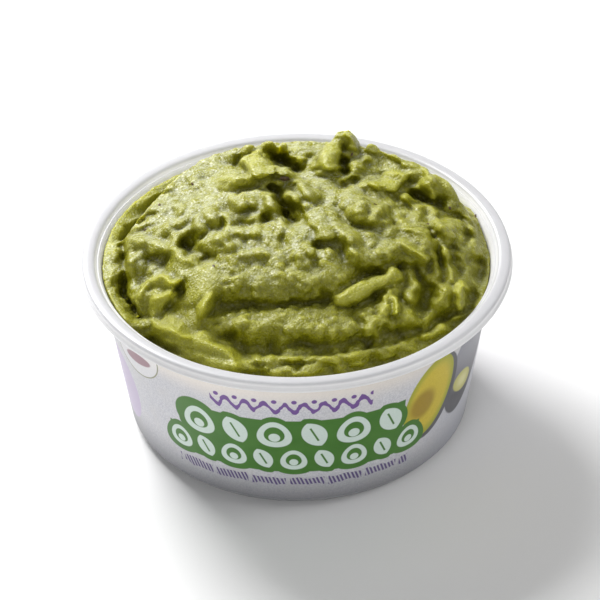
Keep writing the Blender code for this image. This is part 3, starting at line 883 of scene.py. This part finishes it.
def markRaised(piece):
    # an attribute from 0 in creases, through 0.5 on plain slopes, to 1 on crests
    mesh = piece.data
    places = pointsOf(piece)
    ends = np.empty(len(mesh.edges) * 2, int)
    mesh.edges.foreach_get("vertices", ends)
    ends = ends.reshape(-1, 2)
    both = np.concatenate([ends, ends[:, ::-1]])
    count = np.maximum(np.bincount(both[:, 0], minlength=len(places)), 1)

    def averaged(values):
        return np.bincount(both[:, 0], weights=values[both[:, 1]], minlength=len(places)) / count

    soft = places.copy()
    for turn in range(16):
        for axis in range(3):
            soft[:, axis] = 0.3 * soft[:, axis] + 0.7 * averaged(soft[:, axis])
    normals = np.empty(len(places) * 3)
    mesh.vertices.foreach_get("normal", normals)
    proud = ((places - soft) * normals.reshape(-1, 3)).sum(axis=1)
    for turn in range(2):
        proud = 0.5 * proud + 0.5 * averaged(proud)
    attribute = mesh.attributes.new("raised", "FLOAT", "POINT")
    attribute.data.foreach_set("value", np.clip(0.5 + proud * 1.1, 0, 1))
    # brighter yellow-green on the chunks and thin fins: partly the chunks' own colour, partly painted glow
    # of light shining through thin mash
    layout = layoutOf(places[:, 0], places[:, 1], places[:, 2])
    chunkAndGlow = np.zeros(len(places))
    for name, share in mash["chunkAndGlow"].items():
        stroke = lumps.get(name) or banks[name]
        height = strokeHeight(places[:, 0], layout, *stroke)
        chunkAndGlow = np.maximum(chunkAndGlow, share * np.clip(height / max(stroke[2]) * 1.6, 0, 1))
    radius = np.hypot(places[:, 0], places[:, 1])
    angle = np.degrees(np.arctan2(places[:, 1], places[:, 0])) % 360
    # the mash smeared up the wall on the far left gets a painted glow of light shining through the
    # translucent wall
    onWall = smoothStep(108, 122, angle) * (1 - smoothStep(172, 182, angle)) * smoothStep(41.5, 44.0, radius)
    attribute = mesh.attributes.new("chunkAndGlow", "FLOAT", "POINT")
    attribute.data.foreach_set("value", np.maximum(chunkAndGlow, onWall))
    level = normals.reshape(-1, 3)[:, 2]
    for turn in range(3):
        level = 0.4 * level + 0.6 * averaged(level)
    attribute = mesh.attributes.new("level", "FLOAT", "POINT")
    attribute.data.foreach_set("value", np.clip(level, 0, 1))
    # how far each place lies below the surface a few millimetres round it
    cells = int(2 * 47 / mash["depthCell"])
    column = np.clip(((places[:, 0] + 47) / mash["depthCell"]).astype(int), 0, cells - 1)
    row = np.clip(((places[:, 1] + 47) / mash["depthCell"]).astype(int), 0, cells - 1)
    top = np.full((cells, cells), -1.0)
    np.maximum.at(top, (row, column), places[:, 2])
    filled = (top > 0).astype(float)
    sums = np.where(top > 0, top, 0)
    reach = np.arange(-9, 10)
    weights = np.exp(-(reach * mash["depthCell"] / mash["depthReach"]) ** 2)
    for axis in (0, 1):
        sums = sum(w * np.roll(sums, k, axis) for w, k in zip(weights, reach))
        filled = sum(w * np.roll(filled, k, axis) for w, k in zip(weights, reach))
    around = sums / np.maximum(filled, 1e-6)
    deep = around[row, column] - places[:, 2]
    attribute = mesh.attributes.new("deep", "FLOAT", "POINT")
    attribute.data.foreach_set("value", np.clip(0.5 + deep * 0.066, 0, 1))


flecks = {
    "places": [(-2.4, 15.4, 0.95), (26.8, 31.0, 0.8), (-32.2, 14.2, 0.4), (-35.4, 6.2, 0.38),
        (18.6, 5.8, 0.42), (36.4, 10.6, 0.4),
               (42.8, 11.6, 0.36), (-24.4, 19.2, 0.34), (13.8, 27.4, 0.34), (-18.8, -12.6, 0.36),
               (30.8, 2.2, 0.34)],
    "thickness": 0.35,
    "seed": 11,
}


def skinFlecks(heap):
    # chips of dark avocado skin, pressed half into the mash
    toward = Vector((0, -mash["toward"][0], mash["toward"][1]))
    chips = []
    for k, (x, layout, size) in enumerate(flecks["places"]):
        start = Vector((x, layout, float(plainHeap(np.array(x), np.array(layout))))) + toward * 20
        hit, spot, normal, face = heap.ray_cast(start * mm, -toward)
        if not hit:
            continue
        bpy.ops.object.select_all(action="DESELECT")
        bpy.ops.mesh.primitive_ico_sphere_add(subdivisions=2, radius=size * mm, location=(0, 0, 0))
        chip = added("skinChip")
        bpy.ops.object.mode_set(mode="EDIT")
        bpy.ops.mesh.select_all(action="SELECT")
        bpy.ops.transform.vertex_random(offset=size * 0.4 * mm, uniform=0.2, seed=flecks["seed"] + k)
        bpy.ops.transform.resize(value=(1.25, 0.75, flecks["thickness"]))
        bpy.ops.object.mode_set(mode="OBJECT")
        turn = normal.to_track_quat("Z", "Y").to_matrix().to_4x4() @ Matrix.Rotation(1.7 * k, 4, "Z")
        chip.matrix_world = Matrix.Translation(spot) @ turn
        applyAll(chip)
        chips.append(chip)
    bpy.ops.object.select_all(action="DESELECT")
    for chip in chips:
        chip.select_set(True)
    bpy.context.view_layer.objects.active = chips[0]
    bpy.ops.object.join()
    piece = added("skinFlecks")
    smoothShade(piece, 50)
    return piece


def darkSkin():
    finish = Finish("darkSkin")
    place = finish.place()
    spots = finish.grain(place, 0.4, 2.0, 0.6)
    finish.set(
        Base_Color=finish.mix(spots.over(0.35, 0.65), paint(58, 44, 22), paint(104, 78, 44)),
        Roughness=spots * 0.3 + 0.3,
        Normal=finish.bump(spots, 0.1, 0.8),
    )
    return finish.material


def mashedAvocado():
    finish = Finish("mashedAvocado")
    place = finish.place()
    x, y, z = finish.split(place)
    broad = finish.grain(place, 9.0, 3.0, 0.55)
    clump = finish.grain(place, 2.2, 3.0, 0.6)
    fine = finish.grain(place, 0.55, 2.0, 0.6)
    sand = finish.node("ShaderNodeTexVoronoi", {"feature": "F1"}, {"Vector": place, "Scale": 1 / 0.62})
    raised = finish.attribute("raised")
    level = finish.attribute("level")
    deep = finish.attribute("deep")
    chunkAndGlow = finish.attribute("chunkAndGlow")
    # where painted sheen and glints go: most towards the back and the left, facing the back-left lamp
    paintedGlareSide = y.over(-26.0, -6.0) * (1 - x.over(2.0, 26.0) * 0.75) * 0.8 + 0.15
    colour = finish.mix(broad.over(0.35, 0.65), paint(134, 134, 10), paint(150, 149, 18))
    # painted shade in creases: darker olive where the surface lies below its neighbours
    creaseShade = finish.mix(0.4, colour, paint(96, 94, 12))
    colour = finish.mix(raised.over(0.2, 0.6) * 0.7 + 0.3, creaseShade, colour)
    # painted shade on steep faces, darker and more olive than the tops
    colour = finish.mix(level.under(0.6, 0.15) * 0.5, colour, paint(116, 115, 4))
    # painted sheen: pale whitish patches on the upward tops
    paintedSheen = level.over(0.62, 0.98) * clump.over(0.35, 0.6) * paintedGlareSide * 0.6
    colour = finish.mix(paintedSheen, colour, paint(200, 203, 170))
    colour = finish.mix(raised.over(0.5, 0.95) * 0.3, colour, paint(184, 184, 92))
    # painted glints: fine whitish specks on the upward tops
    paintedGlints = fine.over(0.48, 0.7) * level.over(0.45, 0.85) * paintedGlareSide * 0.5
    colour = finish.mix(paintedGlints, colour, paint(222, 224, 196))
    colour = finish.mix(fine.under(0.46, 0.34) * 0.25, colour, paint(120, 120, 6))
    # brighter yellow-green chunks and fins: partly own colour, partly painted glow of light through thin
    # mash and the wall
    colour = finish.mix(chunkAndGlow * 0.45, colour, finish.mix(clump, paint(176, 175, 36), paint(190, 190, 84)))
    # painted shade in hollows that lie below the surface round them
    colour = finish.mix(deep.over(0.5, 0.85) * 0.8, colour, finish.mix(0.6, colour, paint(56, 54, 4)))
    finish.set(
        Base_Color=colour,
        Roughness=(0.46 - level.under(0.6, 0.3) * 0.08 - fine.over(0.55, 0.7) * 0.15).most(0.15),
        IOR=1.44,
        Subsurface_Weight=0.65,
        Subsurface_Radius=(1.0, 0.95, 0.25),
        Subsurface_Scale=0.0036,
        Coat_Weight=fine.over(0.45, 0.65) * 0.35,
        Coat_Roughness=0.28,
        Normal=finish.bump(fine * 0.65 - sand * 0.35, 0.6, 1.0),
    )
    return finish.material


view = {
    "target": (0.65, 0.0, 29.5),
    "distance": 650.0,
    "elevation": 36.84,
    "roll": -1.09,
    "lens": 164.8,
}


def cameraAndLight():
    bpy.ops.object.select_all(action="DESELECT")
    bpy.ops.object.camera_add()
    camera = added("viewCamera")
    lift = math.radians(view["elevation"])
    back = Vector((0, -math.cos(lift), math.sin(lift)))
    spot = (Vector(view["target"]) + back * view["distance"]) * mm
    turned = Matrix.Rotation(math.pi / 2 - lift, 4, "X")
    turned = turned @ Matrix.Rotation(math.radians(view["roll"]), 4, "Z")
    camera.matrix_world = Matrix.Translation(spot) @ turned
    camera.data.lens = view["lens"]
    camera.data.sensor_width = 36
    camera.data.clip_start = 0.01
    bpy.context.scene.camera = camera
    for name, spot, size, watts in (
        ("backSoftbox", (-0.34, 0.50, 0.56), 0.34, 10.4),
        ("topSoftbox", (0.10, 0.05, 0.9), 0.60, 0.5),
        ("rightSoftbox", (0.50, -0.04, 0.34), 0.30, 1.1),
        ("frontFill", (-0.20, -0.75, 0.35), 0.60, 2.5),
    ):
        bpy.ops.object.light_add(type="AREA", location=spot)
        lamp = bpy.context.object
        lamp.name = name
        lamp.data.size = size
        lamp.data.energy = watts
        lamp.rotation_euler = (Vector((0, 0, 0.03)) - Vector(spot)).to_track_quat("-Z", "Y").to_euler()
    world = bpy.data.worlds.new("paleRoom")
    bpy.context.scene.world = world
    world.use_nodes = True
    world.node_tree.nodes["Background"].inputs["Color"].default_value = (1.0, 1.0, 1.0, 1.0)
    world.node_tree.nodes["Background"].inputs["Strength"].default_value = 0.15
    bpy.context.scene.view_settings.view_transform = "Standard"


def floorSheet():
    bpy.ops.object.select_all(action="DESELECT")
    bpy.ops.mesh.primitive_plane_add(size=6, location=(0, 0, 0))
    piece = added("floorSheet")
    finish = Finish("paleFloor")
    finish.set(Base_Color=paint(232, 232, 232), Roughness=0.7)
    piece.data.materials.append(finish.material)


def dressed(piece, material, slot, *nodes):
    piece.data.materials.clear()
    piece.data.materials.append(material)
    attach(piece, "root")
    if nodes:
        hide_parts(*nodes)


cameraAndLight()
floorSheet()
print("stage set")
dressed(turnedTub(), milkyPlastic(), "milky_plastic", "tub")
print("tub turned")
dressed(printedBand(), printFilm(), "printed_film", "wrap")
print("wrap printed")
heap = guacamoleMash()
dressed(heap, mashedAvocado(), "mashed_avocado", "guacamole")
dressed(skinFlecks(heap), darkSkin(), "mashed_avocado")
print("guacamole heaped")
